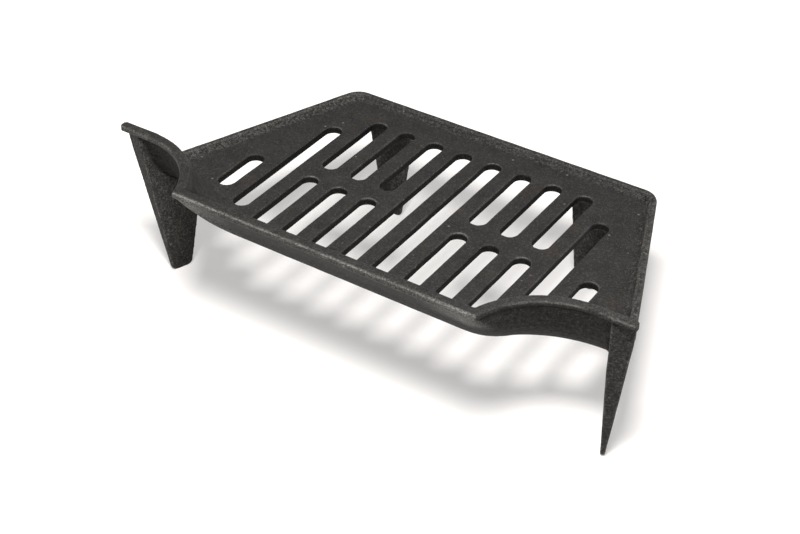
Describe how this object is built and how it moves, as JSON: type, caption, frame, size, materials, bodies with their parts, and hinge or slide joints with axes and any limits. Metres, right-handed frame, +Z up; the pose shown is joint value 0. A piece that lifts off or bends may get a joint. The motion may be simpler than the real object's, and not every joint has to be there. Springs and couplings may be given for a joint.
{
  "type": "log grate",
  "caption": "Free-standing cast-iron hearth grate: tapered slotted deck with a low rim and a scooped front lip, on tapering flat legs.",
  "frame": {"origin": "centre of the bounding box at the floor, on which all four feet stand", "axes": "+X towards the right-hand ear when seen from the front, -Y out of the front of the fireplace, +Z up"},
  "size_m": [0.387, 0.227, 0.126],
  "materials": {
    "cast_iron": "sand-cast, unpolished, dark charcoal with faint rust"
  },
  "bodies": {
    "root": {"front_band": "cast_iron", "back_band": "cast_iron", "cross_tie_left": "cast_iron", "cross_tie_right": "cast_iron", "fire_bar_middle": "cast_iron", "fire_bar_left_1_front": "cast_iron", "fire_bar_left_1_back": "cast_iron", "fire_bar_left_2_front": "cast_iron", "fire_bar_left_2_back": "cast_iron", "fire_bar_left_3_front": "cast_iron", "fire_bar_left_3_back": "cast_iron", "fire_bar_left_4_front": "cast_iron", "fire_bar_left_4_back": "cast_iron", "fire_bar_right_1_front": "cast_iron", "fire_bar_right_1_back": "cast_iron", "fire_bar_right_2_front": "cast_iron", "fire_bar_right_2_back": "cast_iron", "fire_bar_right_3_front": "cast_iron", "fire_bar_right_3_back": "cast_iron", "fire_bar_right_4_front": "cast_iron", "fire_bar_right_4_back": "cast_iron", "fire_bar_left_5": "cast_iron", "fire_bar_right_5": "cast_iron", "side_plate_left": "cast_iron", "side_plate_right": "cast_iron", "rim_left": "cast_iron", "rim_right": "cast_iron", "rim_back": "cast_iron", "rim_corner_left": "cast_iron", "rim_corner_right": "cast_iron", "front_lip": "cast_iron", "lip_corner_left": "cast_iron", "lip_corner_right": "cast_iron", "wing_lip_left": "cast_iron", "wing_lip_right": "cast_iron", "ear_left": "cast_iron", "ear_right": "cast_iron", "front_rail": "cast_iron", "wing_rail_left": "cast_iron", "wing_rail_right": "cast_iron", "ear_rail_left": "cast_iron", "ear_rail_right": "cast_iron", "leg_front_left": "cast_iron", "leg_front_right": "cast_iron", "leg_rear_left": "cast_iron", "leg_rear_right": "cast_iron"}
  },
  "joints": []
}
